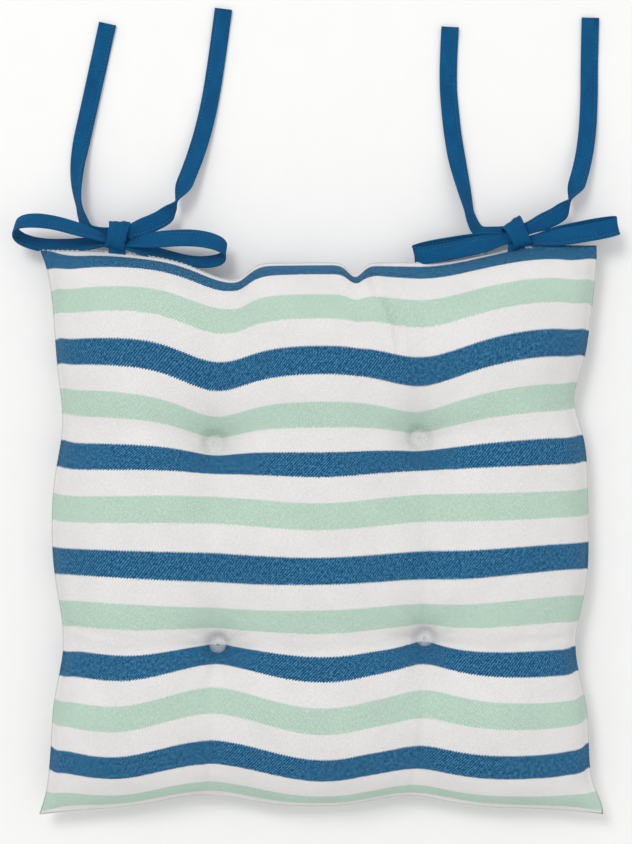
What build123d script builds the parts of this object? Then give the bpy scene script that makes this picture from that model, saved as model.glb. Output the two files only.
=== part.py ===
"""Square tie-on chair seat pad.

Two woven panels are sewn edge to edge round a fibre filling and drawn in by four pairs of clear
tufting discs. At each back corner a narrow folded tape is tied in a bow whose two tails lie free.
Millimetres: +X right, +Y towards the chair's back, +Z up, origin at the middle of the underside.
"""

import os
from math import cos, exp, radians, sin, tan

from build123d import *

os.makedirs("parts", exist_ok=True)

# The pad in plan: its corners stand out and its edges are drawn in beside each tuft.
half_side = 200.0  # middle of the pad to a corner, along X and along Y
edge_inset = 8.0  # how much nearer the middle of an edge lies, before it is drawn in
side_pinch = 11.0  # how far the left and right edges are drawn in
back_pinch = 16.0
front_pinch = 7.0
pinch_width = 38.0
edge_steps = 16  # spans of the curve along one edge

# The pad in height.
seam_height = 22.0  # underside to the sewn edge
crown_rise = 40.0  # sewn edge to the top of a puff
belly_drop = 26.0  # sewn edge to where the underside would hang with nothing under it
edge_power = 5  # how late a puff falls away towards the sewn edge: higher is squarer
cloth = 0.8
seam_gap = 0.5  # half the space between the two panels at the sewn edge, for the seam's thread
filling_gap = 0.4  # between a panel and the filling
filling_inset = 6.0  # sewn edge to the edge of the filling
seam_thread = 0.8
thread_inset = 1.6  # sewn edge to the seam thread
grid_margin = 6.0  # how far past the corners the curved faces run
grid_steps = 32
grid_error = 0.05

# Tufting: a clear disc above, one below, and a pin that holds the two together.
tufts = {
    "back_left": (-74.5, 63.0),
    "back_right": (69.0, 66.5),
    "front_left": (-72.0, -78.0),
    "front_right": (73.0, -73.5),
}
tuft_width = 30.0  # how far round a disc the cloth is drawn in
top_pull = 0.78  # share of the crown that a disc takes away
belly_pull = 0.5
disc_radius = 6.0
disc_thick = 1.2
rim_width = 1.0
rim_rise = 0.7
disc_round = 0.3
rim_step = 15  # degrees between the places where a rim is tried against the cloth
pin_radius = 1.0
pin_head_radius = 1.9
pin_head_thick = 0.6
fit_gap = 0.2  # a piece to the one that it seats on
pin_gap = 0.2  # pin to the hole that it passes

# Ties: tape folded to this width and thickness, sewn into the back seam and tied in a bow.
tape_width = 12.5
tape_thick = 1.4
knot_places = {"left": (-144.0, 10.5), "right": (139.5, 11.5)}  # X, and Y behind the back corners
knot_bulge = 0.75  # how far the gathered tape shows on each side of the wrap
knot_depth = 20.0  # along Y
knot_thick = 13.0
wrap_round = 5.0  # corners of the tape wrapped round the knot
knot_round = 0.6
core_share = 0.78  # the gathered tape inside the wrap, against the wrap's own size
joint_gap = 0.5  # between pieces that move on each other
loop_gap = 1.6  # beside the knot, for the slanted ends of the loops
anchor_depth = 3.5  # tape caught in the seam
anchor_show = 0.6  # tape that shows past the seam
bartack_length = 19.0
bartack_thick = 0.8
bartack_round = 0.3
bartack_inset = 2.0  # sewn edge to the bartack

# A loop is a teardrop of tape on a slant, free to swing at its narrow end beside the knot.
loop_opening = 12.0
loop_slant = 48.0  # degrees between the tape's width and the level
loop_waist = 12.0  # narrow end to where the two layers part
loop_setback = 3.0  # middle of the knot to the middle of its loops, towards the pad
# name: tie, +1 to the right or -1 to the left, turn towards the back and droop in degrees, length
loops = {
    "left_outer_loop": ("left", -1, 8.0, 1.0, 59.0),
    "left_inner_loop": ("left", 1, -6.0, 4.0, 64.0),
    "right_inner_loop": ("right", -1, -8.0, 4.0, 62.0),
    "right_outer_loop": ("right", 1, 7.0, 1.0, 58.0),
}

# Middle line of the tape from beside each knot to the fold where its tail hangs. Here and in the
# tails, Y is given for the half side that the ties were laid out with, and moves with the corners.
laid_out_for = 200.0
lead_routes = {
    "left_outer_lead": [
        (-151.0, 217.3, 19.5),
        (-159.0, 217.3, 19.0),
        (-168.5, 220.0, 14.5),
        (-171.0, 228.0, 12.5),
    ],
    "left_inner_lead": [
        (-137.0, 217.3, 19.5),
        (-124.0, 217.3, 19.0),
        (-110.5, 221.5, 16.0),
        (-105.0, 231.5, 15.0),
    ],
    "right_inner_lead": [
        (132.5, 218.3, 19.5),
        (121.5, 218.3, 18.5),
        (110.5, 220.5, 14.5),
        (107.5, 228.5, 12.5),
    ],
    "right_outer_lead": [
        (146.5, 218.3, 19.5),
        (157.5, 218.3, 19.0),
        (169.5, 223.5, 16.0),
        (174.5, 233.5, 15.0),
    ],
}
# Middle line of each tail from that fold to its tip.
tail_routes = {
    "left_outer_tail": [
        (-171.8, 231.0, 12.2),
        (-174.6, 250.0, 8.0),
        (-173.0, 271.0, 3.6),
        (-167.0, 298.0, 2.0),
        (-160.5, 328.0, 1.6),
        (-152.7, 363.4, 1.6),
    ],
    "left_inner_tail": [
        (-103.5, 234.2, 14.6),
        (-95.0, 252.0, 11.0),
        (-87.5, 273.0, 5.6),
        (-80.5, 300.0, 2.3),
        (-74.6, 335.0, 1.6),
        (-69.6, 374.0, 1.6),
    ],
    "right_inner_tail": [
        (106.5, 231.4, 12.2),
        (101.0, 250.0, 8.0),
        (96.5, 271.0, 3.6),
        (93.0, 298.0, 2.0),
        (91.0, 328.0, 1.6),
        (93.0, 361.0, 1.6),
    ],
    "right_outer_tail": [
        (176.0, 236.2, 14.6),
        (185.0, 254.0, 11.0),
        (190.2, 276.0, 5.4),
        (192.6, 305.0, 2.2),
        (192.8, 337.0, 1.6),
        (193.6, 367.6, 1.6),
    ],
}
arc_share = 0.45  # of the shorter run beside a bend, taken up by its arc

mid_reach = half_side - edge_inset
grid_reach = half_side + grid_margin
knot_width = tape_width + 2 * knot_bulge
knots = {side: (x, half_side + behind) for side, (x, behind) in knot_places.items()}


def moved(route):
    """A route, moved with the back corners."""
    return [(x, y + half_side - laid_out_for, z) for x, y, z in route]


def from_knot(name, route):
    """A lead's route, with its first point on the side of its knot."""
    side, which = name.split("_")[:2]
    outwards = (1 if side == "right" else -1) * (1 if which == "outer" else -1)
    first, *others = moved(route)
    return [(knots[side][0] + outwards * knot_width / 2, *first[1:]), *others]


leads = {name: from_knot(name, route) for name, route in lead_routes.items()}
tails = {name: moved(route) for name, route in tail_routes.items()}


def reach(along, drawn_in_at, pinch):
    """Middle of the pad to one of its edges, at a place along that edge."""
    edge = mid_reach + (half_side - mid_reach) * (along / half_side) ** 2
    return edge - sum(pinch * exp(-(((along - at) / pinch_width) ** 2)) for at in drawn_in_at)


def side_edge(y, side):
    """How far out the right (+1) or left (-1) edge lies."""
    return reach(y, [at_y for at_x, at_y in tufts.values() if at_x * side > 0], side_pinch)


def end_edge(x, end):
    """How far out the back (+1) or front (-1) edge lies."""
    pinch = back_pinch if end > 0 else front_pinch
    return reach(x, [at_x for at_x, at_y in tufts.values() if at_y * end > 0], pinch)


def fullness(x, y, pull):
    """Share of its free height that the pad has: 0 at the sewn edge, 1 in mid puff."""
    across = side_edge(y, 1 if x > 0 else -1)
    along = end_edge(x, 1 if y > 0 else -1)
    puff = (1 - (abs(x) / across) ** edge_power) * (1 - (abs(y) / along) ** edge_power)
    for at_x, at_y in tufts.values():
        puff *= 1 - pull * exp(-((x - at_x) ** 2 + (y - at_y) ** 2) / tuft_width**2)
    return puff


def top_height(x, y):
    return seam_height + seam_gap + cloth + crown_rise * fullness(x, y, top_pull)


def belly_height(x, y):
    return seam_height - seam_gap - cloth - belly_drop * fullness(x, y, belly_pull)


def curved_face(height):
    """A smooth face over the whole pad, at the height that a formula gives for each place."""
    places = [grid_reach * (2 * step / grid_steps - 1) for step in range(grid_steps + 1)]
    rows = [[(x, y, height(x, y)) for y in places] for x in places]
    return Face.make_surface_from_array_of_points(rows, tol=grid_error)


def plan(inset=0.0):
    """The pad's outline, all of it drawn in by an inset."""
    share = 1 - inset / half_side
    places = [half_side * (2 * step / edge_steps - 1) for step in range(1, edge_steps)]
    corner = half_side * share
    with BuildSketch() as outline:
        with BuildLine():
            right = [(side_edge(y, 1) * share, y * share) for y in places]
            back = [(x * share, end_edge(x, 1) * share) for x in places]
            left = [(-side_edge(y, -1) * share, y * share) for y in places]
            front = [(x * share, -end_edge(x, -1) * share) for x in places]
            Spline((corner, -corner), *right, (corner, corner))
            Spline((corner, corner), *reversed(back), (-corner, corner))
            Spline((-corner, corner), *reversed(left), (-corner, -corner))
            Spline((-corner, -corner), *front, (corner, -corner))
        make_face()
    return outline.sketch


def bend_radii(route):
    """The radius at each corner of a route: as large as its two runs allow."""
    points = [Vector(*place) for place in route]
    radii = []
    for before, here, after in zip(points, points[1:], points[2:]):
        turn = radians((here - before).get_angle(after - here))
        run = min((here - before).length, (after - here).length)
        radii.append(arc_share * run / tan(turn / 2))
    return radii


def loop_plane(tie, outwards, turn, droop):
    """Where a loop's narrow end is: X along the loop, Z along the tape's width."""
    knot_x, knot_y = knots[tie]
    along = Vector(
        outwards * cos(radians(turn)) * cos(radians(droop)),
        sin(radians(turn)) * cos(radians(droop)),
        -sin(radians(droop)),
    )
    level = Vector(-along.Y, along.X, 0).normalized() * outwards
    rising = along.cross(level) * outwards
    width = level * cos(radians(loop_slant)) + rising * sin(radians(loop_slant))
    root_x = knot_x + outwards * (knot_width / 2 + loop_gap + tape_thick)
    root = (root_x, knot_y - loop_setback, seam_height)
    return Plane(origin=root, x_dir=along, z_dir=width)


def disc_seat(height, x, y, pick):
    """Where a disc rests on the cloth: the highest or lowest place under its rim."""
    rim = [(x + disc_radius * cos(turn), y + disc_radius * sin(turn)) for turn in rim_turns]
    return pick(height(*place) for place in rim)


rim_turns = [radians(step * rim_step) for step in range(round(360 / rim_step))]
top_face = curved_face(top_height)
belly_face = curved_face(belly_height)
block_height = seam_height + 2 * crown_rise
skin = cloth + filling_gap
tuft_places = list(tufts.values())
anchor_edge = {
    side: min(end_edge(x - tape_width / 2, 1), end_edge(x + tape_width / 2, 1))
    for side, (x, y) in knots.items()
}

# The pad itself.
with BuildPart() as pin_ways:
    with BuildSketch():
        with Locations(*tuft_places):
            Circle(pin_radius + pin_gap)
    extrude(amount=block_height)

with BuildPart() as anchor_ways:
    for side, (x, y) in knots.items():
        with Locations((x, anchor_edge[side], seam_height)):
            Box(tape_width + 2 * fit_gap, 2 * anchor_depth, 2 * (tape_thick + fit_gap))

with BuildPart() as top_panel:
    add(plan())
    extrude(amount=block_height)
    split(bisect_by=top_face, keep=Keep.BOTTOM)
    split(bisect_by=Pos(0, 0, -cloth) * top_face, keep=Keep.TOP)
    add(pin_ways.part, mode=Mode.SUBTRACT)
    add(anchor_ways.part, mode=Mode.SUBTRACT)
top_panel.part.label = "top_panel"

with BuildPart() as inside:
    with BuildSketch(Plane.XY.offset(cloth)):
        add(plan())
    extrude(amount=seam_height)
    split(bisect_by=Pos(0, 0, cloth) * belly_face, keep=Keep.TOP)

with BuildPart() as bottom_panel:
    add(plan())
    extrude(amount=seam_height)
    split(bisect_by=belly_face, keep=Keep.TOP)
    add(inside.part, mode=Mode.SUBTRACT)
    add(pin_ways.part, mode=Mode.SUBTRACT)
    add(anchor_ways.part, mode=Mode.SUBTRACT)
bottom_panel.part.label = "bottom_panel"

with BuildPart() as fibre_filling:
    with BuildSketch(Plane.XY.offset(skin)):
        add(plan(filling_inset))
    extrude(amount=block_height)
    split(bisect_by=Pos(0, 0, -skin) * top_face, keep=Keep.BOTTOM)
    split(bisect_by=Pos(0, 0, skin) * belly_face, keep=Keep.TOP)
    add(pin_ways.part, mode=Mode.SUBTRACT)
fibre_filling.part.label = "fibre_filling"

with BuildPart() as edge_seam_thread:
    with BuildSketch(Plane.XY.offset(seam_height - seam_thread / 2)):
        add(plan(thread_inset))
        add(plan(thread_inset + seam_thread), mode=Mode.SUBTRACT)
    extrude(amount=seam_thread)
edge_seam_thread.part.label = "edge_seam_thread"

pieces = [top_panel, bottom_panel, fibre_filling, edge_seam_thread]

# The four tufts.
for place, (x, y) in tufts.items():
    top_seat = disc_seat(top_height, x, y, max) + fit_gap
    low_seat = disc_seat(belly_height, x, y, min) - fit_gap

    with BuildPart() as top_disc:
        with BuildSketch(Plane.XY.offset(top_seat)):
            with Locations((x, y)):
                Circle(disc_radius)
                Circle(pin_radius + pin_gap, mode=Mode.SUBTRACT)
        extrude(amount=disc_thick)
        with BuildSketch(Plane.XY.offset(top_seat + disc_thick)):
            with Locations((x, y)):
                Circle(disc_radius)
                Circle(disc_radius - rim_width, mode=Mode.SUBTRACT)
        extrude(amount=rim_rise)
        fillet(top_disc.edges().group_by(Axis.Z)[-1], disc_round)
    top_disc.part.label = place + "_top_disc"

    with BuildPart() as bottom_disc:
        with BuildSketch(Plane.XY.offset(low_seat)):
            with Locations((x, y)):
                Circle(disc_radius)
                Circle(pin_radius + pin_gap, mode=Mode.SUBTRACT)
        extrude(amount=-disc_thick)
        fillet(bottom_disc.edges().group_by(Axis.Z)[0].sort_by(Edge.length)[-1], disc_round)
    bottom_disc.part.label = place + "_bottom_disc"

    with BuildPart() as tuft_pin:
        head_base = top_seat + disc_thick + fit_gap
        foot_base = low_seat - disc_thick - fit_gap
        with BuildSketch(Plane.XY.offset(foot_base - pin_head_thick)):
            with Locations((x, y)):
                Circle(pin_head_radius)
        extrude(amount=pin_head_thick)
        with BuildSketch(Plane.XY.offset(foot_base)):
            with Locations((x, y)):
                Circle(pin_radius)
        extrude(amount=head_base - foot_base)
        with BuildSketch(Plane.XY.offset(head_base)):
            with Locations((x, y)):
                Circle(pin_head_radius)
        extrude(amount=pin_head_thick)
        fillet(tuft_pin.edges().group_by(Axis.Z)[-1], disc_round)
    tuft_pin.part.label = place + "_tuft_pin"
    pieces += [top_disc, bottom_disc, tuft_pin]

# The two ties: what the seam holds, the knot and its two loops, the leads and the tails.
for side, (x, y) in knots.items():
    edge_y = anchor_edge[side]
    hinge_y = edge_y + anchor_show + joint_gap + tape_thick
    knot_face = y - knot_depth / 2

    with BuildPart() as anchor:
        with Locations((x, edge_y + anchor_show, seam_height)):
            Box(
                tape_width,
                anchor_depth + anchor_show,
                2 * tape_thick,
                align=(Align.CENTER, Align.MAX, Align.CENTER),
            )
        add(edge_seam_thread.part, mode=Mode.SUBTRACT)
    anchor.part.label = side + "_tie_anchor"

    with BuildPart() as bartack:
        stitch_y = edge_y - bartack_inset
        ends = [x - bartack_length / 2, x, x + bartack_length / 2]
        stitch_z = max(top_height(end, stitch_y) for end in ends) + fit_gap
        with Locations((x, stitch_y, stitch_z + bartack_thick)):
            Box(bartack_length, bartack_thick, bartack_thick)
        fillet(bartack.edges().filter_by(Axis.X), bartack_round)
    bartack.part.label = side + "_bartack"

    with BuildPart() as knot:
        with BuildSketch(Plane.YZ.offset(x - tape_width / 2)):
            with Locations((y, seam_height)):
                RectangleRounded(knot_depth, knot_thick, wrap_round)
        extrude(amount=tape_width)
        fillet(knot.edges().group_by(Axis.X)[0] + knot.edges().group_by(Axis.X)[-1], knot_round)
        with BuildSketch(Plane.YZ.offset(x - knot_width / 2)):
            with Locations((y, seam_height)):
                RectangleRounded(
                    knot_depth * core_share, knot_thick * core_share, wrap_round * core_share
                )
        extrude(amount=knot_width)
        with BuildSketch(Plane.YZ.offset(x - tape_width / 2)):
            with Locations((hinge_y, seam_height)):
                Circle(tape_thick)
            with Locations(((hinge_y + knot_face) / 2, seam_height)):
                Rectangle(knot_face - hinge_y, 2 * tape_thick)
        extrude(amount=tape_width)
    knot.part.label = side + "_knot"
    pieces += [anchor, bartack, knot]

for name, (side, outwards, turn, droop, length) in loops.items():
    slant = loop_plane(side, outwards, turn, droop)
    end_radius = loop_opening / 2 + tape_thick
    end_at = length - end_radius
    waist_radius = (end_radius - tape_thick) * loop_waist / end_at

    with BuildPart() as loop:
        with BuildSketch(slant):
            Circle(tape_thick)
            with Locations((end_at, 0)):
                Circle(end_radius)
            make_hull()
        extrude(amount=tape_width / 2, both=True)
        with BuildSketch(slant):
            with Locations((loop_waist, 0)):
                Circle(waist_radius)
            with Locations((end_at, 0)):
                Circle(loop_opening / 2)
            make_hull()
        extrude(amount=tape_width / 2, both=True, mode=Mode.SUBTRACT)
    loop.part.label = name
    pieces.append(loop)

for name, route in {**leads, **tails}.items():
    radii = bend_radii(route)
    with BuildPart() as tape:
        if name in tails:
            fold = Vector(*route[1]) - Vector(*route[0])
            crease = Plane(origin=route[0], z_dir=(fold.Y, -fold.X, 0))
            with BuildSketch(crease.offset(-tape_width / 2)):
                Circle(tape_thick)
            extrude(amount=tape_width)
        with BuildLine() as middle:
            FilletPolyline(*route, radius=radii)
        path = middle.wires()[0]
        start, heading = path @ 0, path % 0
        across = Vector(-heading.Y, heading.X, 0)
        with BuildSketch(Plane(origin=start, x_dir=across, z_dir=heading)):
            Rectangle(tape_width, tape_thick)
        sweep(path=path)
    tape.part.label = name
    pieces.append(tape)
    share = tape.part.volume / (tape_width * tape_thick * path.length)
    print(name, "length", round(path.length, 1), "volume share", round(share, 4))
    print("  radii", [round(radius, 1) for radius in radii])

for piece in pieces:
    export_step(piece.part, f"parts/{piece.part.label}.step")
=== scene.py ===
"""The look of the chair seat pad: striped twill cushion, clear tufting discs and two tape bows.

Metres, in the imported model's own frame: +X right, +Y towards the chair's back, +Z up.
"""

import math

import bpy
import numpy as np
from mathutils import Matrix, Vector
from mathutils.bvhtree import BVHTree


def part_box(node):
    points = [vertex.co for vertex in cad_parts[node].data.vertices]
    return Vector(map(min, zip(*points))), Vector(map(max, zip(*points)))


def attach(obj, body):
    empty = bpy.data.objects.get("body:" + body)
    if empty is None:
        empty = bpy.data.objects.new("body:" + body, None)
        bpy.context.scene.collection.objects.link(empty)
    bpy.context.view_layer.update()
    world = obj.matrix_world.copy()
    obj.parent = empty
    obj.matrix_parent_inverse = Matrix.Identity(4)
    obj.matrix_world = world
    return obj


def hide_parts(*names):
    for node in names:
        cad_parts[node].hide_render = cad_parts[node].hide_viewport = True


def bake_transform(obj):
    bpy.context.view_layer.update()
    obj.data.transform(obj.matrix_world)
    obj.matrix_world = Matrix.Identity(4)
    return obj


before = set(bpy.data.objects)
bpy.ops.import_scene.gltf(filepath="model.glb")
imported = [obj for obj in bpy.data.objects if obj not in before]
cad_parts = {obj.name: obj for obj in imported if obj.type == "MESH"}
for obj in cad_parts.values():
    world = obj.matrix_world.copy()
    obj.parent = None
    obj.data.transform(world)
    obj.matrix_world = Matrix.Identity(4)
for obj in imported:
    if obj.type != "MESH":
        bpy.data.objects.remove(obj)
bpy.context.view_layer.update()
MM = 0.001
PAD_HALF = 0.2  # half the pad's side
SEAM_Z = 22 * MM  # the height of the sewn edge
rng = np.random.default_rng(7)

# ---------------------------------------------------------------- camera
camera_data = bpy.data.cameras.new("camera")
camera_data.lens = 85
camera_data.sensor_width = 36
camera = bpy.data.objects.new("camera", camera_data)
bpy.context.scene.collection.objects.link(camera)
camera.location = (-0.0032, 0.0778, SEAM_Z + 1.409)
bpy.context.scene.camera = camera
bpy.context.scene.view_settings.view_transform = "Standard"

# ---------------------------------------------------------------- sizes and routes of the tapes
TAPE_WIDTH = 12.5 * MM
TAPE_THICK = 1.4 * MM
# tie and side: points from the knot to the fold, points from the fold to the tip, in millimetres
ROUTES = {
    "left_outer": (
        [(-149, 211.5, 17.5), (-158, 211, 13.5), (-166.5, 214, 11), (-170, 224, 11.5)],
        [(-171.8, 231, 12.2), (-174.6, 250, 8), (-173, 271, 3.6), (-167, 298, 2),
         (-160.5, 328, 1.6), (-152.7, 363.4, 1.6)],
    ),
    "left_inner": (
        [(-138, 211.5, 24), (-124, 216, 23), (-111, 222.3, 19), (-104.6, 229.5, 16)],
        [(-102.5, 233.2, 14.8), (-95, 252, 11), (-87.5, 273, 5.6), (-80.5, 300, 2.3),
         (-74.6, 335, 1.6), (-69.6, 374, 1.6)],
    ),
    "right_inner": (
        [(132.5, 213, 17.5), (122, 211.5, 13.5), (112, 213, 11), (107.8, 221, 11.5)],
        [(105.6, 228.5, 11.6), (101, 250, 8), (96.5, 271, 3.6), (93, 298, 2),
         (91, 328, 1.6), (93, 361, 1.6)],
    ),
    "right_outer": (
        [(145, 214, 24), (158, 219.3, 22.5), (170.5, 225.8, 18.5), (177, 233.2, 15.8)],
        [(178.6, 236.9, 14.8), (185, 254, 11), (190.2, 276, 5.4), (192.6, 305, 2.2),
         (192.8, 337, 1.6), (193.6, 367.6, 1.6)],
    ),
}
# shares of the way along, how far the tape is rolled over there in degrees, and the side of the
# stitched edge
ROLLS = {
    "left_outer": ([0, 0.10, 0.22, 0.36, 0.52, 1], [20, 50, 68, 38, 6, 0], 1),
    "left_inner": ([0, 0.16, 0.235, 0.31, 0.6, 1], [-14, -10, -92, -168, -180, -180], 1),
    "right_inner": ([0, 0.10, 0.22, 0.34, 0.46, 1], [-20, -40, -58, -32, -4, 0], 1),
    "right_outer": ([0, 0.16, 0.235, 0.31, 0.6, 1], [-14, -10, -92, -168, -180, -180], -1),
}


def route_line(name, points):
    """The smooth line of a route: a NURBS spline with the route's points as its control points."""
    curve = bpy.data.curves.new(name, "CURVE")
    curve.dimensions = "3D"
    curve.resolution_u = 14
    spline = curve.splines.new("NURBS")
    spline.points.add(len(points) - 1)
    for point, place in zip(spline.points, points):
        point.co = (place[0] * MM, place[1] * MM, place[2] * MM, 1)
    spline.order_u = 3
    spline.use_endpoint_u = True
    holder = bpy.data.objects.new(name, curve)
    bpy.context.scene.collection.objects.link(holder)
    line = bpy.data.meshes.new_from_object(holder)
    places = np.array([v.co for v in line.vertices])
    bpy.data.objects.remove(holder)
    bpy.data.meshes.remove(line)
    return places


def unit(vectors):
    return vectors / np.maximum(np.linalg.norm(vectors, axis=-1, keepdims=True), 1e-12)


def along_of(line):
    """Distance from the start of a line to each of its points."""
    steps = np.linalg.norm(np.diff(line, axis=0), axis=1)
    return np.concatenate([[0], np.cumsum(steps)])


def between(at, along, places):
    """What lies at some distances along a line, from what each of its points has."""
    return np.stack([np.interp(at, along, places[:, i]) for i in range(3)], -1)


def tangents(line, closed=False):
    if closed:
        return unit(np.roll(line, -1, axis=0) - np.roll(line, 1, axis=0))
    return unit(np.gradient(line, axis=0))


def smooth_share(value):
    value = np.clip(value, 0, 1)
    return value * value * (3 - 2 * value)


def gauss(distance, width):
    return np.exp(-((distance / width) ** 2))


# ---------------------------------------------------------------- meshes
class Shape:
    """Collects points, faces, a place on the cloth for each point, and a material for each face."""

    def __init__(self):
        self.verts, self.faces, self.flat, self.slots = [], [], [], []
        self.count = 0

    def add(self, verts, faces, flat=None, slot=0):
        verts = np.asarray(verts, float).reshape(-1, 3)
        self.verts.append(verts)
        if flat is None:
            flat = np.zeros((len(verts), 2))
        self.flat.append(np.asarray(flat).reshape(-1, 2))
        self.faces += [tuple(int(i) + self.count for i in face) for face in faces]
        self.slots += [slot] * len(faces)
        self.count += len(verts)

    def build(self, name, materials):
        mesh = bpy.data.meshes.new(name)
        mesh.from_pydata(np.concatenate(self.verts).tolist(), [], self.faces)
        for material in materials:
            mesh.materials.append(material)
        mesh.polygons.foreach_set("material_index", self.slots)
        mesh.polygons.foreach_set("use_smooth", [True] * len(self.faces))
        corner = np.zeros(len(mesh.loops), np.int32)
        mesh.loops.foreach_get("vertex_index", corner)
        layer = mesh.uv_layers.new(name="cloth")
        layer.data.foreach_set("uv", np.concatenate(self.flat)[corner].astype(np.float32).ravel())
        mesh.update()
        obj = bpy.data.objects.new(name, mesh)
        bpy.context.scene.collection.objects.link(obj)
        return obj


def tube_rings(shape, rings, flat=None, closed=False, slot=0):
    """Joins rings of points, each with the same number of points, into a skin with ends."""
    rings = np.asarray(rings)
    count, around = rings.shape[:2]
    faces = []
    for ring in range(count if closed else count - 1):
        here, after = ring * around, ((ring + 1) % count) * around
        for k in range(around):
            k_next = (k + 1) % around
            faces.append((here + k, here + k_next, after + k_next, after + k))
    if not closed:
        faces.append(tuple(range(around))[::-1])
        faces.append(tuple((count - 1) * around + k for k in range(around)))
    shape.add(rings, faces, flat, slot)


def thread(shape, line, radius, slot=0, sides=6):
    """A round thread along a short line, thinner at its two ends."""
    line = np.asarray(line, float)
    way = tangents(line)
    side = unit(np.cross(way, [0.31, 0.17, 0.93]))
    up = np.cross(side, way)
    turn = np.arange(sides) * 2 * math.pi / sides
    fat = np.full(len(line), radius)
    fat[0] = fat[-1] = radius * 0.35
    rings = [
        p + r * (np.cos(turn)[:, None] * a + np.sin(turn)[:, None] * b)
        for p, a, b, r in zip(line, side, up, fat)
    ]
    tube_rings(shape, rings, slot=slot)


# ---------------------------------------------------------------- tape
# Half of the tape's section, from its folded edge to its open edge: share of the width, share of
# the thickness. The open edge has a groove between its layers and dips along its stitching.
STITCH_AT = 0.31
SECTION = [
    (-0.5, 0.12), (-0.492, 0.34), (-0.46, 0.48), (-0.40, 0.52), (-0.2, 0.49),
    (0.0, 0.46), (0.18, 0.50), (0.275, 0.46), (STITCH_AT, 0.22), (0.345, 0.46),
    (0.42, 0.54), (0.472, 0.50), (0.497, 0.34), (0.494, 0.10),
]
SECTION = np.array(SECTION + [(a, -b) for a, b in reversed(SECTION)])
STITCH_PITCH = 2.6 * MM
STITCH_LONG = 1.8 * MM
STITCH_RADIUS = 0.22 * MM
STITCH_ARCH = np.array([-0.12, 0.12, 0.12, -0.12])[:, None] * MM
# the tape's buckles: a long and a short wave of its edge, and a crown that comes and goes
LONG_WAVE = 11 * MM
SHORT_WAVE = 4.7 * MM
CROWN_WAVE = 17 * MM


def tape(
    name, line, across, widths=1.0, thick=1.0, stitch_side=1,
    closed=False, pleats=0.0, ripple=0.25, stitched=True,
):
    """A folded and edge-stitched tape: across is the direction of its width at each point.

    widths and thick are shares of the tape's own; ripple and pleats are in millimetres.
    """
    count = len(line)
    way = tangents(line, closed)
    across = unit(across - way * np.sum(across * way, axis=1, keepdims=True))
    out = np.cross(across, way)
    along = along_of(line)
    widths = np.broadcast_to(widths, count) * TAPE_WIDTH
    thick = np.broadcast_to(thick, count) * TAPE_THICK
    phase = rng.uniform(0, 6.28, 4)
    total = max(along[-1], MM)
    if closed:
        waves = 0.6 * np.sin(2 * math.pi * 3 * along / total + phase[0])
    else:
        waves = np.sin(along / LONG_WAVE + phase[0]) + 0.6 * np.sin(along / SHORT_WAVE + phase[1])

    def lift_of(a, at, wave):
        """How far the tape buckles out of its plane, at a share of its width and a distance along."""
        crown = 0.35 * np.cos(math.pi * a) * np.sin(at / CROWN_WAVE + phase[2])
        pleat = pleats * np.sin(a * 17 + 0.7 * np.sin(9 * at / total + phase[3]))
        return ripple * MM * (wave * (0.5 + a * stitch_side) + crown) + pleat * MM

    shape = Shape()
    rings, flat = [], []
    section = SECTION * (stitch_side, 1)
    if stitch_side < 0:
        section = section[::-1]
    for k in range(count):
        a, b = section[:, 0], section[:, 1]
        lift = lift_of(a, along[k], waves[k])
        rings.append(
            line[k] + across[k] * (a * widths[k])[:, None] + out[k] * (b * thick[k] + lift)[:, None]
        )
        flat.append(np.stack([a * TAPE_WIDTH, np.full(len(a), along[k])], -1))
    tube_rings(shape, rings, np.array(flat), closed)
    places = np.arange(STITCH_PITCH, along[-1] - STITCH_PITCH, STITCH_PITCH)
    a = STITCH_AT * stitch_side
    for face in (1, -1) if stitched else ():
        for start in places:
            ends = start + np.linspace(0, STITCH_LONG, 4)
            width_here = np.interp(ends, along, widths)[:, None]
            thick_here = np.interp(ends, along, thick)[:, None]
            lift = lift_of(a, ends, np.interp(ends, along, waves))[:, None]
            above = face * (0.22 * thick_here + 0.16 * MM + STITCH_ARCH) + lift
            middle = between(ends, along, line) + between(ends, along, across) * (a * width_here)
            thread(shape, middle + between(ends, along, out) * above, STITCH_RADIUS, slot=1)
    return shape.build(name, [material_of["blue_tape"], material_of["tape_thread"]])


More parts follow.
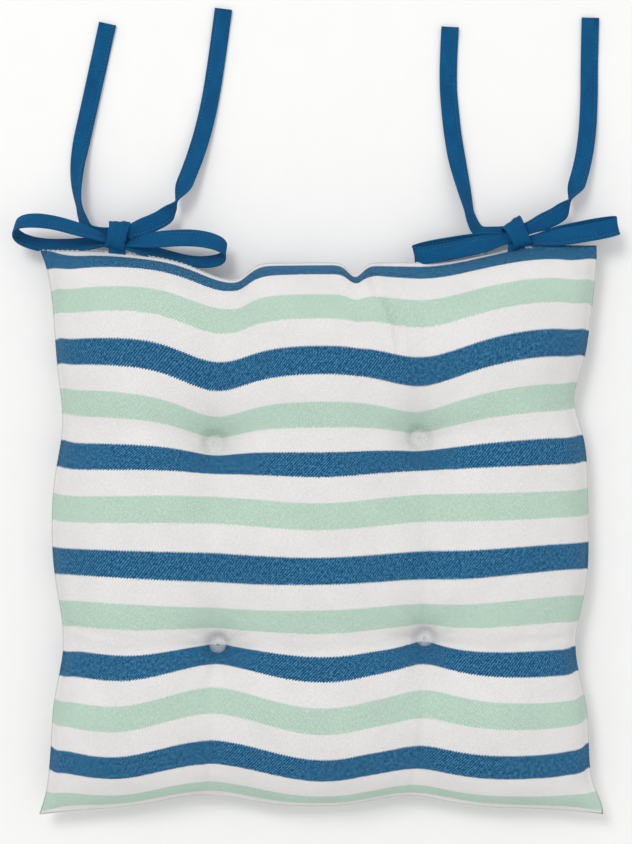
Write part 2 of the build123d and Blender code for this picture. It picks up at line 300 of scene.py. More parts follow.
# ---------------------------------------------------------------- materials
class Nodes:
    """A short way to write a material's nodes."""

    def __init__(self, name):
        self.material = bpy.data.materials.new(name)
        self.material.use_nodes = True
        self.tree = self.material.node_tree
        self.shader = self.tree.nodes["Principled BSDF"]

    def put(self, socket, value):
        if isinstance(value, bpy.types.NodeSocket):
            self.tree.links.new(value, socket)
        else:
            socket.default_value = value

    def node(self, kind, values=(), **settings):
        made = self.tree.nodes.new(kind)
        for key, value in settings.items():
            setattr(made, key, value)
        for key, value in dict(values).items():
            self.put(made.inputs[key], value)
        return made

    def sum(self, operation, a, b=0.0, c=0.0):
        return self.node("ShaderNodeMath", {0: a, 1: b, 2: c}, operation=operation).outputs[0]

    def mix(self, share, a, b):
        return self.node("ShaderNodeMix", {0: share, 6: a, 7: b}, data_type="RGBA").outputs[2]

    def band(self, value, low, high):
        """0 below low, 1 above high, smooth between."""
        made = self.node("ShaderNodeMapRange", {0: value, 1: low, 2: high}, interpolation_type="SMOOTHSTEP")
        return made.outputs[0]

    def noise(self, place, scale, detail=3.0, rough=0.6):
        values = {"Vector": place, "Scale": scale, "Detail": detail, "Roughness": rough}
        return self.node("ShaderNodeTexNoise", values).outputs["Fac"]

    def place(self, scale):
        """The place on the flat cloth, scaled."""
        return self.node("ShaderNodeMapping", {"Vector": self.uv, "Scale": scale}).outputs[0]

    def use_cloth(self):
        """The two coordinates of a place on the flat cloth."""
        self.uv = self.node("ShaderNodeUVMap", uv_map="cloth").outputs[0]
        parts = self.node("ShaderNodeSeparateXYZ", {0: self.uv})
        return parts.outputs[0], parts.outputs[1]

    def bump(self, height, distance, strength=1.0, normal=None):
        values = {"Height": height, "Distance": distance, "Strength": strength}
        if normal is not None:
            values["Normal"] = normal
        return self.node("ShaderNodeBump", values).outputs[0]

    def finish(self, **values):
        for key, value in values.items():
            self.put(self.shader.inputs[key.replace("_", " ")], value)
        return self.material


# ---------------------------------------------------------------- the cushion's own measures
TUFTS = [(-0.0745, 0.063), (0.069, 0.0665), (-0.072, -0.078), (0.073, -0.0735)]
TUFT_NAMES = ["back_left", "back_right", "front_left", "front_right"]
TUFT_SHARE = 0.366  # a tuft's place on the flat cloth, against half its side
TUFT_FLAT = [(math.copysign(TUFT_SHARE, x), math.copysign(TUFT_SHARE, y)) for x, y in TUFTS]
TUFT_HOLD = 6.6 * MM  # the cloth within this reach of a tuft stays put while it is blown up
TUFT_PRESS = 7.2 * MM  # the cloth within this reach of a tuft stays clear of the discs
CLOTH_HALF = 0.229  # half the side of the flat cloth
STRIPES = 11.85  # coloured stripes, spaced evenly over the cloth
TOP_MARGIN = 0.35  # of a stripe's spacing that shows beyond the middle of the first stripe
PUFF_RISE = 40 * MM
BELLY_DROP = 24 * MM
LEAN = 0.058  # how far the cloth has slid to the front over the front puffs, as a share of its half
VALLEY_POINT = 3.8 * MM  # how far the stripes point along a valley


# Each edge's reach from the middle, at a share -1..1 of the way along it: corner to corner.
def edge_left(t):
    drawn_in = 0.0068 * gauss(t - 0.37, 0.17) + 0.0085 * gauss(t + 0.34, 0.19)
    return 0.1905 + 0.0085 * t**8 - 0.0025 * gauss(t - 0.65, 0.30) - drawn_in


def edge_right(t):
    drawn_in = 0.0075 * gauss(t - 0.45, 0.10) + 0.0095 * gauss(t + 0.36, 0.17)
    ears = 0.0100 * gauss(t + 1.0, 0.12) + 0.0055 * gauss(t - 0.95, 0.28)
    return 0.1900 + ears - drawn_in - 0.0035 * gauss(t - 0.5, 0.25)


def edge_back(s):
    return 0.1905 + 0.0085 * s**2 - 0.0155 * gauss(s + 0.36, 0.16) - 0.0125 * gauss(s - 0.36, 0.17)


def edge_front(s):
    return 0.1945 + 0.0050 * s**4 - 0.0085 * gauss(s + 0.40, 0.19) - 0.0080 * gauss(s - 0.31, 0.16)


def rim_back(s):
    """The sewn edge at the back, with the two sharp notches that the cloth behind it doesn't follow."""
    swell = np.where(s > 0, 0.0120, 0.0085) * smooth_share((np.abs(s) - 0.35) / 0.45)
    notch = 0.0125 * gauss(s + 0.30, np.where(s < -0.30, 0.14, 0.055)) + 0.0100 * gauss(s - 0.125, 0.032)
    return 0.1908 + swell - notch


LIP = 0.014  # share of the half cloth that lies flat in the seam's lip


def spread(share, other, lean=0.0):
    """Share of the way out in plan of a place on the cloth: the cloth turns down near its edges."""
    roll = 0.31 * (1 - other**6) + 0.13
    slack = lean * (gauss(share + 0.35, 0.5) - 0.28)
    inner = np.clip(share / (1 - LIP), -1, 1)
    rolled = inner + roll * inner**3 * (1 - inner**2) - slack * (1 - inner**2)
    return rolled * (1 - LIP) + (share - inner * (1 - LIP))


def peaked(distance, width):
    """1 at a crease, falling away on both sides of it."""
    return np.exp(0.2 - np.sqrt((distance / width) ** 2 + 0.04))


def plan_of(s, t):
    """Where a place on the flat cloth lies in plan, before it is blown up."""
    u, v = spread(s, t), spread(t, s, LEAN)
    x = np.where(u > 0, u * edge_right(t), u * edge_left(t))
    back = edge_back(s) + (rim_back(s) - edge_back(s)) * np.clip(v, 0, 1) ** 7
    y = np.where(v > 0, v * back, v * edge_front(s))
    for (sx, ty), (x0, y0) in zip(TUFT_FLAT, TUFTS):
        x1 = spread(sx, ty) * (edge_right(ty) if sx > 0 else edge_left(ty))
        y1 = spread(ty, sx, LEAN) * (edge_back(sx) if ty > 0 else edge_front(sx))
        off = np.hypot(s - sx, t - ty)
        near = 0.6 * gauss(off, 0.29) + 0.4 * peaked(off, 0.16)
        drawn = 0.30 * gauss(off, 0.27) * PAD_HALF
        x = x + (x0 - x1) * near - drawn * (s - sx)
        y = y + (y0 - y1) * near - drawn * (t - ty)
        # the stripes point along the valley that runs out from each tuft
        outer = smooth_share(np.abs(t) / 0.5) * (1 - t**8)
        y = y - math.copysign(VALLEY_POINT, ty) * peaked(s - sx, 0.05) * outer
    return x, y


def puff(s, t, pull, late, valley):
    """Share of its free height that the cloth has.

    pull is how far a tuft draws it in, late how near the edge it falls away, valley how deep the
    valleys between the tufts are.
    """
    u = np.clip(np.abs(spread(s, t)) / (1 - LIP), 0, 1)
    v = np.clip(np.abs(spread(t, s)) / (1 - LIP), 0, 1)
    full = np.sqrt((1 - u**late) * (1 - v**late))
    across = np.maximum(peaked(s - TUFT_SHARE, 0.07), peaked(s + TUFT_SHARE, 0.07))
    along = np.maximum(peaked(t - TUFT_SHARE, 0.07), peaked(t + TUFT_SHARE, 0.07))
    full = full * (1 - valley * np.maximum(across, along))
    for sx, ty in TUFT_FLAT:
        off = np.hypot(s - sx, t - ty)
        full = full * (1 - pull * (0.5 * gauss(off, 0.14) + 0.5 * peaked(off, 0.09)))
    return full


GRID = 104
SIM_FRAMES = 22
# how firmly the valleys between the tufts and the seam's lip keep their place, and a valley's reach
VALLEY_HOLD = 0.15
LIP_HOLD = 0.6
VALLEY_REACH = 0.012
EASE = 4 * MM  # below this height the cloth flattens out on the seat
EDGE_CREASE = 0.85  # how sharp the sewn edge stays when the cover is smoothed


def cloth_grid():
    """The cushion before it is blown up.

    Returns its points, their places on the cloth, its faces, the points of the sewn edge in order
    and how many points belong to the top.
    """
    ticks = np.linspace(-1, 1, GRID + 1)
    s, t = np.meshgrid(ticks, ticks, indexing="xy")
    x, y = plan_of(s, t)
    top_z = SEAM_Z + 1.02 * PUFF_RISE * puff(s, t, 0.62, 5.3, 0.17)
    low_z = SEAM_Z - BELLY_DROP * puff(s, t, 0.40, 5.3, 0.06)
    side = GRID + 1
    index = np.arange(side * side).reshape(side, side)
    border = np.zeros((side, side), bool)
    border[0, :] = border[-1, :] = border[:, 0] = border[:, -1] = True
    inner = ~border
    lower = index.copy()
    lower[inner] = side * side + np.arange(inner.sum())
    top = np.stack([x, y, top_z], -1)
    low = np.stack([x, y, low_z], -1)
    flat = np.stack([s, t], -1)
    verts = np.concatenate([top.reshape(-1, 3), low[inner]])
    flat = np.concatenate([flat.reshape(-1, 2), flat[inner]])
    faces = []
    for table, turned in ((index, False), (lower, True)):
        quads = np.stack([table[:-1, :-1], table[:-1, 1:], table[1:, 1:], table[1:, :-1]], -1)
        quads = quads.reshape(-1, 4)
        faces.append(quads[:, ::-1] if turned else quads)
    ring = np.concatenate([index[0, :-1], index[:-1, -1], index[-1, :0:-1], index[:0:-1, 0]])
    return verts, flat, np.concatenate(faces), ring, side * side


def drawn_at(flat):
    """Each point's place on the printed cloth: the filling has pushed the stripes a little askew."""
    s, t = flat.T
    middle = 0.021 * gauss(s, 0.26) * smooth_share((0.97 - t) / 0.2)
    right = -0.016 * smooth_share((s - 0.45) / 0.4) * smooth_share((t + 0.95) / 0.3)
    left = 0.013 * smooth_share((-s - 0.5) / 0.3) * smooth_share((t - 0.4) / 0.25)
    edges = -0.032 * t * smooth_share((np.abs(s) - 0.84) / 0.16)
    sway = 0.012 * gauss(s + 0.67, 0.12) - 0.013 * gauss(s + 0.2, 0.16)
    sway += 0.014 * smooth_share((s - 0.12) / 0.15) * smooth_share((0.98 - s) / 0.12)
    front = sway * smooth_share((-0.2 - t) / 0.2)
    return np.stack([s, t + middle + right + left + edges + front], -1)


def disc_faces(name):
    """The heights of the cloth under a tuft's top disc and over its bottom disc."""
    gap = 0.35 * MM
    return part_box(name + "_top_disc")[0][2] - gap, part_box(name + "_bottom_disc")[1][2] + gap


def blow_up(obj, flat, pinned):
    """Runs the cloth simulation with air inside and returns the points where it comes to rest."""
    mesh = obj.data
    group = obj.vertex_groups.new(name="pin")
    for weight in np.unique(pinned[pinned > 0]):
        group.add(np.nonzero(pinned == weight)[0].tolist(), float(weight), "REPLACE")
    count = len(mesh.vertices)
    start = np.zeros(count * 3)
    mesh.vertices.foreach_get("co", start)
    start = start.reshape(-1, 3)
    sheet = np.zeros((count, 3))
    sheet[:, :2] = flat * CLOTH_HALF
    sheet[:, 2] = SEAM_Z
    obj.shape_key_add(name="Basis")
    rest = obj.shape_key_add(name="cut cloth")
    rest.data.foreach_set("co", (0.3 * start + 0.7 * sheet).ravel())
    cloth = obj.modifiers.new("cloth", "CLOTH")
    settings = cloth.settings
    settings.rest_shape_key = rest
    settings.quality = 5
    settings.mass = 0.3
    settings.use_pressure = True
    settings.uniform_pressure_force = 14
    settings.effector_weights.gravity = 0
    settings.tension_stiffness = 15
    settings.compression_stiffness = 12
    settings.shear_stiffness = 4
    settings.bending_stiffness = 0.12
    settings.vertex_group_mass = "pin"
    settings.air_damping = 5
    cloth.collision_settings.use_collision = False
    cloth.point_cache.frame_end = SIM_FRAMES
    for step in range(1, SIM_FRAMES + 1):
        bpy.context.scene.frame_set(step)
    shown = obj.evaluated_get(bpy.context.evaluated_depsgraph_get()).to_mesh()
    places = np.zeros(count * 3)
    shown.vertices.foreach_get("co", places)
    bpy.context.scene.frame_set(1)
    obj.modifiers.remove(cloth)
    obj.shape_key_clear()
    obj.vertex_groups.clear()
    return places.reshape(-1, 3)


def make_cushion():
    """The cover, blown up: the object, the points of its sewn edge, and the places of all its points."""
    verts, flat, faces, ring, top_count = cloth_grid()
    is_top = np.arange(len(verts)) < top_count
    from_valley = np.min(np.abs(np.abs(flat) - TUFT_SHARE), axis=1)
    pinned = np.where(is_top & (from_valley < VALLEY_REACH), VALLEY_HOLD, 0.0)
    pinned[np.max(np.abs(flat), axis=1) > 1 - 1.5 * LIP] = LIP_HOLD
    pinned[ring] = 1
    for name, (x0, y0) in zip(TUFT_NAMES, TUFTS):
        top_z, low_z = disc_faces(name)
        near = np.hypot(verts[:, 0] - x0, verts[:, 1] - y0) < TUFT_HOLD
        verts[near & is_top, 2] = top_z
        verts[near & ~is_top, 2] = low_z
        pinned[near] = 1
    # the sewn edge wavers up and down where the puffs beside it swell
    walk = np.arange(len(ring)) / len(ring)
    waver = 1.2 * MM * np.sin(2 * math.pi * 12 * walk + 0.6)
    verts[ring, 2] += waver + 0.5 * MM * np.sin(2 * math.pi * 31 * walk)
    shape = Shape()
    shape.add(verts, faces, drawn_at(flat))
    obj = shape.build("cushion_cover", [])
    verts = blow_up(obj, flat, pinned)
    for name, (x0, y0) in zip(TUFT_NAMES, TUFTS):
        top_z, low_z = disc_faces(name)
        near = np.hypot(verts[:, 0] - x0, verts[:, 1] - y0) < TUFT_PRESS
        verts[near & is_top, 2] = np.minimum(verts[near & is_top, 2], top_z)
        verts[near & ~is_top, 2] = np.maximum(verts[near & ~is_top, 2], low_z)
    low = verts[:, 2] < EASE
    verts[low, 2] = EASE * np.exp(np.clip((verts[low, 2] - EASE) / EASE, -8, 0))
    obj.data.vertices.foreach_set("co", verts.ravel())
    edge_pairs = {frozenset((int(a), int(b))) for a, b in zip(ring, np.roll(ring, -1))}
    crease = obj.data.attributes.new("crease_edge", "FLOAT", "EDGE")
    for edge in obj.data.edges:
        if frozenset(edge.vertices) in edge_pairs:
            crease.data[edge.index].value = EDGE_CREASE
    obj.data.update()
    return obj, ring, verts


def subdivide(obj):
    """One level of subdivision, applied."""
    obj.modifiers.new("smooth", "SUBSURF").levels = 1
    mesh = bpy.data.meshes.new_from_object(obj.evaluated_get(bpy.context.evaluated_depsgraph_get()))
    obj.modifiers.clear()
    obj.data = mesh
    mesh.polygons.foreach_set("use_smooth", [True] * len(mesh.polygons))


# creases pressed into the top cloth: the points along each in millimetres, and its depth
CREASES = [
    ([(26, 193), (36, 177), (40, 164)], 4.2),
    ([(45, 163), (52, 146), (56, 116)], 2.6),
    ([(-52, 192), (-53, 178), (-66, 152)], 2.2),
    ([(-190, 126), (-170, 120), (-150, 122)], 0.9),
    ([(186, 96), (168, 88), (146, 84)], 1.0),
    ([(-188, -62), (-160, -68), (-132, -72)], 1.1),
    ([(186, -70), (160, -74), (128, -74)], 1.1),
    ([(-80, -188), (-77, -160), (-74, -126)], 1.3),
    ([(62, -190), (66, -162), (71, -124)], 1.3),
]
CREASE_WIDTH = 2.4 * MM
# the short folds round a tuft: their depth, and the ring they lie in
FOLD_DEPTH = 0.45 * MM
FOLD_REACH = 17 * MM
FOLD_WIDTH = 9 * MM


def from_line(points, route):
    """Distance in plan from each point to a line of a few points, and the share of the way along it."""
    route = np.array(route) * MM
    nearest = np.full(len(points), 1.0)
    share = np.zeros(len(points))
    for k, (start, end) in enumerate(zip(route, route[1:])):
        run = end - start
        part = np.clip((points - start) @ run / (run @ run), 0, 1)
        off = np.linalg.norm(points - start - part[:, None] * run, axis=1)
        closer = off < nearest
        nearest[closer] = off[closer]
        share[closer] = (k + part[closer]) / (len(route) - 1)
    return nearest, share


def add_wrinkles(obj):
    """Creases near the seam, and short folds that run out from each tuft."""
    mesh = obj.data
    places = np.zeros(len(mesh.vertices) * 3)
    mesh.vertices.foreach_get("co", places)
    places = places.reshape(-1, 3)
    plan = places[:, :2]
    drop = np.zeros(len(places))
    for route, depth in CREASES:
        off, share = from_line(plan, route)
        fade = smooth_share(1.3 - share) * depth * MM
        swell = 0.35 * gauss(off - 2 * CREASE_WIDTH, CREASE_WIDTH)
        drop += fade * (gauss(off, CREASE_WIDTH) - swell)
    for k, (x0, y0) in enumerate(TUFTS):
        off = np.hypot(plan[:, 0] - x0, plan[:, 1] - y0)
        turn = np.arctan2(plan[:, 1] - y0, plan[:, 0] - x0)
        folds = np.sin(5 * turn + 1.3 * k) + 0.7 * np.sin(9 * turn + 2.1 * k)
        folds += 0.5 * np.sin(14 * turn + k)
        drop += FOLD_DEPTH * folds * gauss(off - FOLD_REACH, FOLD_WIDTH)
    on_top = smooth_share((places[:, 2] - SEAM_Z - 1 * MM) / (5 * MM))
    places[:, 2] -= drop * on_top
    mesh.vertices.foreach_set("co", places.ravel())
    mesh.update()


RIB_PITCH = 1.62 * MM  # of the twill's diagonal ribs
YARN_FINE, YARN_COARSE = 950, 380  # the yarns' unevenness, per metre across and along them


def twill():
    """Striped twill: blue and mint bands on white, woven on a diagonal that rises to the right."""
    n = Nodes("striped_twill")
    s, t = n.use_cloth()
    ribs = CLOTH_HALF / RIB_PITCH
    diagonal = n.sum("ADD", n.sum("MULTIPLY", s, ribs * 0.77), n.sum("MULTIPLY", t, -ribs * 0.64))
    rib = n.sum("SINE", n.sum("MULTIPLY", diagonal, 2 * math.pi))
    fine, coarse = CLOTH_HALF * YARN_FINE, CLOTH_HALF * YARN_COARSE
    warp = n.noise(n.place((fine, coarse, 1)), 1.0, 3.0)
    weft = n.noise(n.place((coarse, fine, 1)), 1.0, 3.0)
    # stripe number, its edge stepped by the twill
    count = n.sum("MULTIPLY_ADD", t, -STRIPES / 2, STRIPES / 2 - TOP_MARGIN)
    uneven = n.sum("MULTIPLY_ADD", warp, 0.05, n.sum("SUBTRACT", count, 0.025))
    stepped = n.sum("MULTIPLY_ADD", rib, 0.013, uneven)
    whole = n.sum("ROUND", stepped)
    off = n.sum("ABSOLUTE", n.sum("SUBTRACT", stepped, whole))
    coloured = n.sum("SUBTRACT", 1.0, n.band(off, 0.243, 0.257))
    is_mint = n.sum("PINGPONG", whole, 1.0)
    yarns = n.sum("ADD", n.sum("MULTIPLY_ADD", warp, 0.85, -0.3), n.sum("MULTIPLY", weft, 0.75))
    fleck = n.band(n.sum("MULTIPLY_ADD", rib, 0.11, yarns), 0.38, 0.72)
    blue = n.mix(fleck, (0.001, 0.058, 0.155, 1), (0.062, 0.235, 0.40, 1))
    mint = n.mix(fleck, (0.415, 0.575, 0.475, 1), (0.56, 0.69, 0.60, 1))
    white = n.mix(fleck, (0.725, 0.71, 0.70, 1), (0.81, 0.795, 0.785, 1))
    tint = n.mix(is_mint, blue, mint)
    colour = n.mix(coloured, white, tint)
    patchy = n.noise(n.place((3, 3, 1)), 2.2, 4.0)
    shade = n.node("ShaderNodeMapRange", {0: patchy, 1: 0.3, 2: 0.7, 3: 0.955, 4: 1.03}).outputs[0]
    grey = n.node("ShaderNodeCombineXYZ", {0: shade, 1: shade, 2: shade}).outputs[0]
    colour = n.node("ShaderNodeVectorMath", {0: colour, 1: grey}, operation="MULTIPLY").outputs[0]
    relief = n.sum("ADD", n.sum("MULTIPLY", warp, 0.45), n.sum("MULTIPLY", weft, 0.35))
    height = n.sum("MULTIPLY_ADD", rib, 0.30, relief)
    crinkle = n.bump(n.noise(n.place((1, 1, 1)), 26.0, 4.0), 1.6 * MM, 0.35)
    normal = n.bump(height, 0.22 * MM, 0.8, crinkle)
    rough = n.node("ShaderNodeMapRange", {0: fleck, 3: 0.86, 4: 0.97}).outputs[0]
    return n.finish(
        Base_Color=colour, Roughness=rough, Normal=normal, Specular_IOR_Level=0.2, Sheen_Weight=0.03
    )


def woven(name, dark, light, pitch, depth):
    """A plain weave of fine threads, over and under."""
    n = Nodes(name)
    across, along = n.use_cloth()
    a = n.sum("SINE", n.sum("MULTIPLY", across, 2 * math.pi / pitch))
    b = n.sum("SINE", n.sum("MULTIPLY", along, 2 * math.pi / (pitch * 1.3)))
    check = n.sum("MULTIPLY", a, b)
    streak = n.noise(n.place((2600, 500, 1)), 1.0, 3.0)
    faded = n.noise(n.place((120, 45, 1)), 1.0, 4.0)
    uneven = n.sum("ADD", n.sum("MULTIPLY", streak, 0.6), n.sum("MULTIPLY", faded, 0.4))
    share = n.sum("MULTIPLY_ADD", check, 0.12, uneven)
    colour = n.mix(n.band(share, 0.32, 0.72), dark, light)
    height = n.sum("MULTIPLY_ADD", check, 0.5, streak)
    crinkle = n.bump(faded, 0.5 * MM, 0.3)
    normal = n.bump(height, depth, 0.8, crinkle)
    return n.finish(
        Base_Color=colour, Roughness=0.85, Normal=normal, Specular_IOR_Level=0.2, Sheen_Weight=0.0
    )


def fibrous(name, dark, light, scale, depth):
    """Spun thread or loose fibre, mottled in its own place in space."""
    n = Nodes(name)
    where = n.node("ShaderNodeTexCoord").outputs["Object"]
    strand = n.noise(where, scale, 4.0, 0.7)
    colour = n.mix(n.band(strand, 0.3, 0.7), dark, light)
    return n.finish(Base_Color=colour, Roughness=0.8, Normal=n.bump(strand, depth, 0.7), Sheen_Weight=0.2)


def moulded(name, tint, alpha):
    """Clear moulded plastic with faint scuffs: alpha is how much of it is seen."""
    n = Nodes(name)
    where = n.node("ShaderNodeTexCoord").outputs["Object"]
    scuff = n.noise(where, 900.0, 5.0)
    rough = n.node("ShaderNodeMapRange", {0: scuff, 1: 0.35, 2: 0.7, 3: 0.06, 4: 0.22}).outputs[0]
    colour = n.mix(n.band(scuff, 0.3, 0.8), tint, tuple(c * 0.94 for c in tint[:3]) + (1,))
    normal = n.bump(n.noise(where, 260.0, 2.0), 0.12 * MM, 0.4)
    return n.finish(
        Base_Color=colour, Roughness=rough, Normal=normal, Transmission_Weight=0.0, IOR=1.49, Alpha=alpha
    )


# the dark and the light tone of each fibre, then the size and the depth of its grain
FIBRES = {
    "tape_thread": ((0.004, 0.095, 0.22, 1), (0.03, 0.17, 0.33, 1), 3000.0, 0.05 * MM),
    "white_thread": ((0.72, 0.72, 0.70, 1), (0.90, 0.90, 0.88, 1), 3000.0, 0.05 * MM),
    "polyester_fibre": ((0.78, 0.78, 0.76, 1), (0.93, 0.93, 0.92, 1), 260.0, 0.6 * MM),
}
TAPE_TONES = (0.0, 0.054, 0.155, 1), (0.001, 0.112, 0.272, 1)
material_of = {
    "striped_twill": twill(),
    "blue_tape": woven("blue_tape", *TAPE_TONES, 0.55 * MM, 0.10 * MM),
    **{name: fibrous(name, *look) for name, look in FIBRES.items()},
    "clear_plastic": moulded("clear_plastic", (0.93, 0.945, 0.95, 1), 0.26),
    "nylon": moulded("nylon", (0.93, 0.94, 0.93, 1), 0.14),
}

# ---------------------------------------------------------------- the four tails
for name, (lead, tail) in ROUTES.items():
    line = route_line(name, lead + tail)
    along = along_of(line)
    share = along / along[-1]
    keys, rolls, stitch_side = ROLLS[name]
    roll = np.radians(np.interp(share, keys, rolls))
    for _ in range(6):
        roll[1:-1] = (roll[:-2] + 2 * roll[1:-1] + roll[2:]) / 4
    way = tangents(line)
    level = unit(np.cross(way, [0, 0, 1]))
    rise = np.cross(level, way)
    across = level * np.cos(roll)[:, None] + rise * np.sin(roll)[:, None]
    # the tape is gathered where it leaves the knot and where it turns over, and hemmed at its tip
    turned = np.abs(np.sin(roll))
    widths = 0.72 + 0.28 * smooth_share(along / (16 * MM)) - 0.16 * turned**4 * (np.abs(rolls[-1]) > 90)
    hem = smooth_share((along - along[-1] + 8 * MM) / (1.2 * MM))
    thick = 1.35 - 0.35 * smooth_share(along / (14 * MM)) + 0.75 * hem
    piece = tape(name + "_tail_tape", line, across, widths, thick, stitch_side)
    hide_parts(name + "_lead", name + "_tail")
    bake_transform(piece)

# ---------------------------------------------------------------- loops
# name: narrow end (mm), turn and droop (degrees), length and opening (mm), how far the upper band
# leans towards the back of the lower one, the slants of the upper and lower bands, stitched side
LOOPS = {
    "left_outer": ((-148.5, 205.8, 21.5), 173.2, -1, 68, 21, 42, (40, 40), -1),
    "left_inner": ((-138.0, 203.6, 22), -4.7, 2, 71, 18, 50, (20, 46), 1),
    "right_inner": ((134.0, 208.2, 22), 190.0, 3, 68, 9, -25, (8, -14), 1),
    "right_outer": ((149.5, 206.0, 22), 10.2, 0, 61, 9, -20, (6, -14), -1),
}
WIDEST = 0.71  # what swing * reach**0.7 comes to where a loop is widest
BAND_GAP = 0.95 * MM  # half the space between the middles of the two bands at the knot
for name, (root, turn, droop, length, opening, lean, slants, stitch_side) in LOOPS.items():
    turn, droop, lean = math.radians(turn), math.radians(droop), math.radians(lean)
    out = np.array([math.cos(turn) * math.cos(droop), math.sin(turn) * math.cos(droop), -math.sin(droop)])
    level = unit(np.array([-out[1], out[0], 0.0]))
    if level[1] < 0:
        level = -level
    up = unit(np.cross(out, level))
    if up[2] < 0:
        up = -up
    apart = level * math.sin(lean) + up * math.cos(lean)
    share = np.linspace(0, 1, 120)
    reach = (1 - np.cos(2 * math.pi * share)) / 2
    swing = np.sin(2 * math.pi * share)
    bulge = swing * reach**0.7 / WIDEST
    part = np.tanh(5 * swing)
    line = (
        np.array(root) * MM
        + out * (reach * length * MM)[:, None]
        + apart * (bulge * opening / 2 * MM + part * BAND_GAP)[:, None]
    )
    slant = np.radians((slants[0] + slants[1]) / 2 + (slants[0] - slants[1]) / 2 * swing)
    slant = slant + math.radians(4) * np.sin(4 * math.pi * share + 0.8)
    across = level * np.cos(slant)[:, None] - up * np.sin(slant)[:, None]
    widths = 0.60 + 0.40 * smooth_share(reach * length / 22)
    thick = 1.6 - 0.6 * smooth_share(reach * length / 16)
    piece = tape(name + "_loop_tape", line, across, widths, thick, stitch_side, ripple=0.35)
    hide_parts(name + "_loop")
    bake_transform(piece)

# ---------------------------------------------------------------- knots and what holds them
# each knot's middle in plan, in millimetres, and its turn in degrees
KNOTS = {"left": ((-143.8, 209.6), -9.0), "right": ((138.4, 210.4), 28.0)}
UP = np.array([0, 0, 1])
WRAP_DEEP, WRAP_TALL = 9.4 * MM, 6.2 * MM  # the reach of the wrap's middle from the knot's axis
CORE_WIDE, CORE_DEEP, CORE_TALL = 7.2 * MM, 7.6 * MM, 4.6 * MM  # half the core's sides
CORE_RINGS = 9
for side, ((x, y), lean) in KNOTS.items():
    lean = math.radians(lean)
    level = np.array([math.cos(lean), math.sin(lean), 0])
    deep = np.array([-math.sin(lean), math.cos(lean), 0])
    turn = np.linspace(0, 2 * math.pi, 72, endpoint=False)
    ring_y = np.sign(np.cos(turn)) * np.abs(np.cos(turn)) ** 0.8 * WRAP_DEEP
    ring_z = np.sign(np.sin(turn)) * np.abs(np.sin(turn)) ** 0.75 * WRAP_TALL
    centre = np.array([x * MM, y * MM, SEAM_Z])
    line = centre + deep * ring_y[:, None] + UP * ring_z[:, None]
    line = line + level * (0.9 * MM * np.sin(turn + 0.5))[:, None]
    across = np.broadcast_to(level, line.shape) + 0.16 * deep * np.cos(turn)[:, None]
    widths = 1.12 + 0.10 * np.sin(turn * 2 + 1.0)
    piece = tape(
        side + "_knot_wrap", line, across, widths, thick=1.15,
        closed=True, pleats=0.42, ripple=0.5, stitched=False,
    )
    core = Shape()
    rings = []
    for step in np.linspace(-1, 1, CORE_RINGS):
        fat = math.sqrt(max(0.02, 1 - 0.75 * step**2))
        crumple = 1 + 0.10 * np.sin(5 * turn + 3 * step)
        rings.append(
            centre
            + level * step * CORE_WIDE
            + deep * (np.cos(turn) * crumple * fat * CORE_DEEP)[:, None]
            + UP * (np.sin(turn) * crumple * fat * CORE_TALL)[:, None]
        )
    flat = np.array([[(k * MM, a * 6 * MM) for a in turn] for k in range(CORE_RINGS)])
    tube_rings(core, rings, flat)
    gather = core.build(side + "_knot_core", [material_of["blue_tape"]])
    for part in (piece, gather):
        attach(part, side + "_bow")
    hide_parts(side + "_knot")

cover, ring, verts = make_cushion()
cover.data.materials.append(material_of["striped_twill"])

# ---------------------------------------------------------------- filling, inside the cover
CLOTH_GAP = 2.2 * MM  # between the cloth and the filling
SEAM_GAP = 3 * MM  # between the sewn edge and the filling
filling_mesh = cover.data.copy()
normals = np.zeros(len(filling_mesh.vertices) * 3)
filling_mesh.vertices.foreach_get("normal", normals)
inset = verts - normals.reshape(-1, 3) * CLOTH_GAP
inset[ring] -= unit(verts[ring] * (1, 1, 0)) * SEAM_GAP
# drawn in further where the pad grows thin
thin = smooth_share((np.abs(verts[:, :2]).max(axis=1) - 160 * MM) / (25 * MM))
inset[:, :2] *= 1 - 0.03 * thin[:, None]
filling_mesh.vertices.foreach_set("co", inset.ravel())
filling_mesh.materials.clear()
filling_mesh.materials.append(material_of["polyester_fibre"])
filling = bpy.data.objects.new("fibre_filling_wad", filling_mesh)
bpy.context.scene.collection.objects.link(filling)
subdivide(cover)
add_wrinkles(cover)
add_wrinkles(filling)
for piece, slot, node in (
    (cover, "striped_twill", ("top_panel", "bottom_panel")),
    (filling, "polyester_fibre", ("fibre_filling",)),
):
    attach(piece, "pad")
    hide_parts(*node)

# ---------------------------------------------------------------- stitches of the edge seam
SEAM_PITCH = 3.4 * MM
SEAM_STITCH = 2.3 * MM
SEAM_DIP = np.array([-0.15, 0.10, 0.10, -0.15])[:, None] * MM
seam = Shape()
edge_line = verts[np.append(ring, ring[0])]
edge_along = along_of(edge_line)
for start in np.arange(0, edge_along[-1] - 3 * MM, SEAM_PITCH):
    middle = between(start + np.linspace(0, SEAM_STITCH, 4), edge_along, edge_line)
    outward = unit(middle * (1, 1, 0))
    thread(seam, middle + outward * SEAM_DIP, 0.22 * MM)
# a loose end of thread near the right tie
loose = [
    (0.1132, 0.1985, 0.0225), (0.1140, 0.1968, 0.0262),
    (0.1134, 0.1945, 0.0300), (0.1142, 0.1930, 0.0322),
]
thread(seam, loose, 0.18 * MM)
stitches = seam.build("edge_seam_stitches", [material_of["white_thread"]])
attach(stitches, "pad")
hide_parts("edge_seam_thread")

# ---------------------------------------------------------------- tape ends in the seam and bartacks
surface = BVHTree.FromObject(cover, bpy.context.evaluated_depsgraph_get())


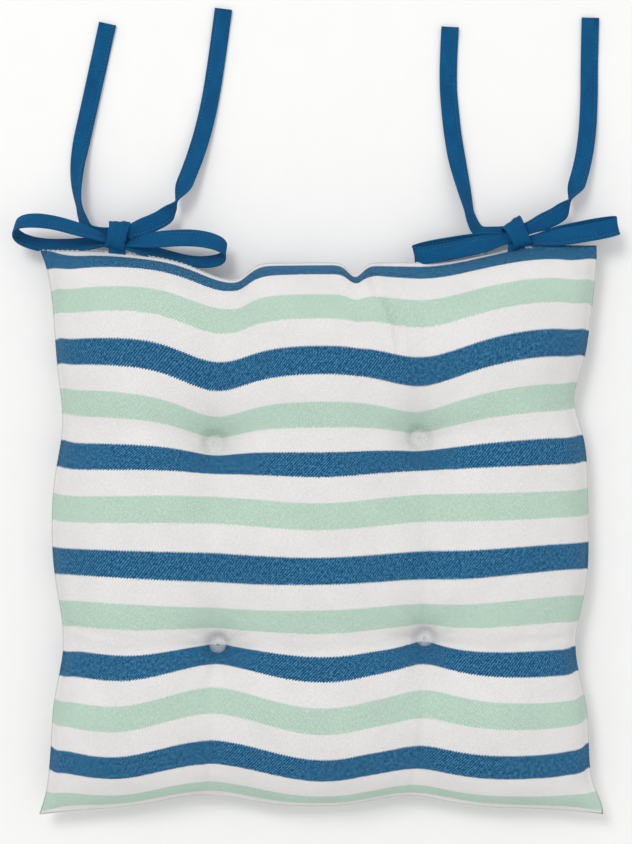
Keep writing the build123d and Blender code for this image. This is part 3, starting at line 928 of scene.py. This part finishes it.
def on_cloth(x, y, above=0.0):
    """The place on top of the cushion straight under a point, or on its sewn edge."""
    hit = surface.ray_cast(Vector((x, y, 0.2)), Vector((0, 0, -1)))[0]
    if hit is None:
        hit = surface.find_nearest(Vector((x, y, SEAM_Z)))[0]
    return np.array(hit) + (0, 0, above)


BAR_STITCHES = 22
BAR_LONG = 18 * MM
for side, ((x, y), _) in KNOTS.items():
    back = rim_back(x * MM / PAD_HALF)
    start = np.array([x * MM, back - 4 * MM, SEAM_Z])
    end = np.array([x * MM, (y - 5) * MM, SEAM_Z])
    steps = np.linspace(0, 1, 14)[:, None]
    line = start * (1 - steps) + end * steps + UP * 0.4 * MM * np.sin(math.pi * steps)
    across = np.broadcast_to([1.0, 0.05, 0], line.shape)
    root = tape(side + "_tie_root", line, across, np.linspace(1, 0.9, 14), 1.3, 1, ripple=0.2)
    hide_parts(side + "_tie_anchor")
    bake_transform(root)
    bar = Shape()
    for k in range(BAR_STITCHES):
        at = x * MM + (k / (BAR_STITCHES - 1) - 0.5) * BAR_LONG
        inward = (1.0 + 1.1 * (k % 2)) * MM
        rim = rim_back(at / PAD_HALF)
        places = [
            on_cloth(at, rim - inward * 0.5, 0.15 * MM),
            on_cloth(at + 0.4 * MM, rim - 0.7 * MM, 0.35 * MM),
            on_cloth(at + 0.8 * MM, rim - 1.6 * MM + inward * 0.5, 0.15 * MM),
        ]
        thread(bar, places, 0.22 * MM)
    # a cut end of thread at each end of the bar
    for way in (-1, 1):
        at = x * MM + way * 9.2 * MM
        rim = rim_back(at / PAD_HALF)
        tip = [
            on_cloth(at + way * k * 0.5 * MM, rim - (0.8 + 0.3 * k) * MM, (0.2 + 0.4 * k) * MM)
            for k in range(5)
        ]
        thread(bar, tip, 0.2 * MM)
    tack = bar.build(side + "_bartack_stitches", [material_of["white_thread"]])
    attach(tack, "pad")
    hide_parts(side + "_bartack")

# ---------------------------------------------------------------- finishes of the CAD pieces that stay
TUFT_FINISHES = {"_top_disc": "clear_plastic", "_bottom_disc": "clear_plastic", "_tuft_pin": "nylon"}
for name in TUFT_NAMES:
    for part, slot in TUFT_FINISHES.items():
        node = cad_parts[name + part]
        node.data.materials.clear()
        node.data.materials.append(material_of[slot])

# ---------------------------------------------------------------- floor and light
floor_maker = Nodes("floor")
where = floor_maker.node("ShaderNodeTexCoord").outputs["Object"]
grain = floor_maker.noise(where, 40.0, 4.0)
paper = floor_maker.mix(grain, (0.90, 0.895, 0.885, 1), (0.93, 0.927, 0.92, 1))
floor_bump = floor_maker.bump(grain, 0.2 * MM, 0.1)
floor_material = floor_maker.finish(Base_Color=paper, Roughness=0.9, Normal=floor_bump)
floor_mesh = bpy.data.meshes.new("floor")
FLOOR_HALF = 4.0
corners = [(x * FLOOR_HALF, y * FLOOR_HALF, 0) for x, y in ((-1, -1), (1, -1), (1, 1), (-1, 1))]
floor_mesh.from_pydata(corners, [], [(0, 1, 2, 3)])
floor_mesh.materials.append(floor_material)
floor = bpy.data.objects.new("floor", floor_mesh)
bpy.context.scene.collection.objects.link(floor)

# each lamp's place, size and power
LAMPS = {"key": ((-1.0, 1.5, 3.0), 1.1, 38), "fill": ((1.3, -0.6, 1.6), 1.6, 3)}
for name, (place, size, power) in LAMPS.items():
    lamp_data = bpy.data.lights.new(name, "AREA")
    lamp_data.size = size
    lamp_data.energy = power
    lamp = bpy.data.objects.new(name, lamp_data)
    bpy.context.scene.collection.objects.link(lamp)
    lamp.location = place
    lamp.rotation_euler = (-Vector(place)).to_track_quat("-Z", "Y").to_euler()
world = bpy.data.worlds.new("studio")
bpy.context.scene.world = world
world.use_nodes = True
world.node_tree.nodes["Background"].inputs[0].default_value = (1.0, 1.0, 1.0, 1)
world.node_tree.nodes["Background"].inputs[1].default_value = 0.75
